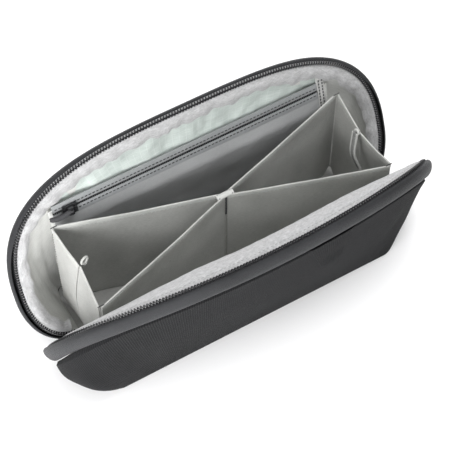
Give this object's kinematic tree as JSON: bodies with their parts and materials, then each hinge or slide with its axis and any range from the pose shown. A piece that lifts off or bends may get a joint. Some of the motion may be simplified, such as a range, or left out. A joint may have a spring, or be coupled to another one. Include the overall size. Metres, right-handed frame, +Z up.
{
  "type": "cable organizer pouch",
  "caption": "Soft wedge-shaped travel pouch that opens wide on a long arched zip, with a crossed divider, folding end gussets and a zipped inner pocket.",
  "frame": {"origin": "on the floor under the zip's low ends, at the middle of the pouch's length", "axes": "+X along the length, +Y to the back, +Z up"},
  "size_m": [0.2466, 0.112, 0.121],
  "materials": {
    "shell_fabric": "matte fine-ribbed woven polyester",
    "lining_cloth": "matte nylon taffeta",
    "patch_fabric": "matte, smooth",
    "divider_cloth": "matte padded nylon",
    "tape_fabric": "smooth woven tape",
    "zip_coil": "satin nylon coil",
    "knit_facing": "heathered brushed knit",
    "ripstop": "light ripstop with a soft sheen",
    "pocket_satin": "satin weave",
    "pocket_tape": "woven zip tape",
    "slider_metal": "dark satin coating",
    "pull_cord": "braided cord"
  },
  "bodies": {
    "base": {"base_panel": "shell_fabric", "base_liner": "lining_cloth", "front_panel": "shell_fabric", "back_panel": "shell_fabric", "front_patch": "patch_fabric", "left_front_end_lining": "lining_cloth", "left_back_end_lining": "lining_cloth", "right_front_end_lining": "lining_cloth", "right_back_end_lining": "lining_cloth", "divider_centre_seam": "divider_cloth"},
    "front_rim": {"front_zip_tape": "tape_fabric", "front_zip_coil": "zip_coil", "front_facing": "knit_facing"},
    "back_rim": {"back_zip_tape": "tape_fabric", "back_zip_coil": "zip_coil", "back_facing": "knit_facing", "back_upper_lining": "ripstop"},
    "front_wall": {"front_lining": "lining_cloth"},
    "back_wall": {"back_lining": "ripstop", "pocket_face": "pocket_satin", "pocket_upper_tape": "pocket_tape", "pocket_lower_tape": "pocket_tape", "pocket_zip_coil": "zip_coil", "pocket_binding": "divider_cloth"},
    "pocket_slider": {"pocket_slider": "slider_metal"},
    "pocket_pull": {"pocket_pull_cord": "pull_cord"},
    "divider_rear_left": {"divider_rear_left": "divider_cloth"},
    "divider_front_left": {"divider_front_left": "divider_cloth"},
    "divider_rear_right": {"divider_rear_right": "divider_cloth"},
    "divider_front_right": {"divider_front_right": "divider_cloth"},
    "left_gusset_rear": {"left_gusset_rear": "divider_cloth", "left_gusset_loop": "divider_cloth"},
    "left_gusset_front": {"left_gusset_front": "divider_cloth"},
    "right_gusset_rear": {"right_gusset_rear": "divider_cloth", "right_gusset_strap": "divider_cloth"},
    "right_gusset_front": {"right_gusset_front": "divider_cloth"},
    "main_slider": {"main_slider": "slider_metal"},
    "main_pull": {"main_slider_pull": "pull_cord"}
  },
  "joints": [
    {"name": "front_close", "type": "hinge", "parent": "base", "child": "front_rim", "pos_m": [0, 0, 0.0055], "axis": [-1, 0, 0], "range_deg": [0, 26.3]},
    {"name": "back_close", "type": "hinge", "parent": "base", "child": "back_rim", "pos_m": [0, 0, 0.0055], "axis": [1, 0, 0], "range_deg": [0, 21.2]},
    {"name": "front_wall_fold", "type": "hinge", "parent": "base", "child": "front_wall", "pos_m": [0, -0.041, 0.0046], "axis": [-1, 0, 0], "range_deg": [0, 17]},
    {"name": "back_wall_fold", "type": "hinge", "parent": "base", "child": "back_wall", "pos_m": [0, 0.037, 0.0046], "axis": [1, 0, 0], "range_deg": [0, 17]},
    {"name": "divider_rear_left_turn", "type": "hinge", "parent": "base", "child": "divider_rear_left", "pos_m": [0.0015, -0.0019, 0.04], "axis": [0, 0, 1], "range_deg": [0, 12.47]},
    {"name": "divider_front_left_turn", "type": "hinge", "parent": "base", "child": "divider_front_left", "pos_m": [0.0015, -0.0019, 0.04], "axis": [0, 0, -1], "range_deg": [0, 13.12]},
    {"name": "divider_rear_right_turn", "type": "hinge", "parent": "base", "child": "divider_rear_right", "pos_m": [0.0015, -0.0019, 0.04], "axis": [0, 0, -1], "range_deg": [0, 12.86]},
    {"name": "divider_front_right_turn", "type": "hinge", "parent": "base", "child": "divider_front_right", "pos_m": [0.0015, -0.0019, 0.04], "axis": [0, 0, 1], "range_deg": [0, 13.52]},
    {"name": "left_gusset_rear_fold", "type": "hinge", "parent": "divider_rear_left", "child": "left_gusset_rear", "pos_m": [-0.0942, 0.0253, 0.04], "axis": [0, 0, 1], "range_deg": [0, 54.96]},
    {"name": "left_gusset_front_fold", "type": "hinge", "parent": "divider_front_left", "child": "left_gusset_front", "pos_m": [-0.0942, -0.032, 0.04], "axis": [0, 0, -1], "range_deg": [0, 59.6]},
    {"name": "right_gusset_rear_fold", "type": "hinge", "parent": "divider_rear_right", "child": "right_gusset_rear", "pos_m": [0.0942, 0.0253, 0.04], "axis": [0, 0, -1], "range_deg": [0, 54.48]},
    {"name": "right_gusset_front_fold", "type": "hinge", "parent": "divider_front_right", "child": "right_gusset_front", "pos_m": [0.0942, -0.032, 0.04], "axis": [0, 0, 1], "range_deg": [0, 59.3]},
    {"name": "pocket_zip_slide", "type": "slide", "parent": "back_wall", "child": "pocket_slider", "axis": [1, 0, 0], "range_m": [0, 0.145]},
    {"name": "pocket_pull_swing", "type": "hinge", "parent": "pocket_slider", "child": "pocket_pull", "pos_m": [-0.08, 0.0295, 0.08338], "axis": [0, 0.2873, 0.9578], "range_deg": [0, 170]},
    {"name": "main_zip_slide", "type": "hinge", "parent": "base", "child": "main_slider", "pos_m": [0.08615, 0, 0.0367], "axis": [0, -1, 0], "range_deg": [0, 46]},
    {"name": "main_pull_swing", "type": "hinge", "parent": "main_slider", "child": "main_pull", "pos_m": [0.1102, 0, 0.0036], "axis": [0, -1, 0], "range_deg": [0, 40]}
  ],
  "couplings": [
    {"joint": "back_close", "follows": "front_close", "ratio": 0.806},
    {"joint": "front_wall_fold", "follows": "front_close", "ratio": 0.6463},
    {"joint": "back_wall_fold", "follows": "front_close", "ratio": 0.6463},
    {"joint": "divider_rear_left_turn", "follows": "front_close", "ratio": 0.4741},
    {"joint": "divider_front_left_turn", "follows": "front_close", "ratio": 0.4988},
    {"joint": "divider_rear_right_turn", "follows": "front_close", "ratio": 0.4889},
    {"joint": "divider_front_right_turn", "follows": "front_close", "ratio": 0.514},
    {"joint": "left_gusset_rear_fold", "follows": "front_close", "ratio": 2.0897},
    {"joint": "left_gusset_front_fold", "follows": "front_close", "ratio": 2.2661},
    {"joint": "right_gusset_rear_fold", "follows": "front_close", "ratio": 2.0714},
    {"joint": "right_gusset_front_fold", "follows": "front_close", "ratio": 2.2547}
  ]
}
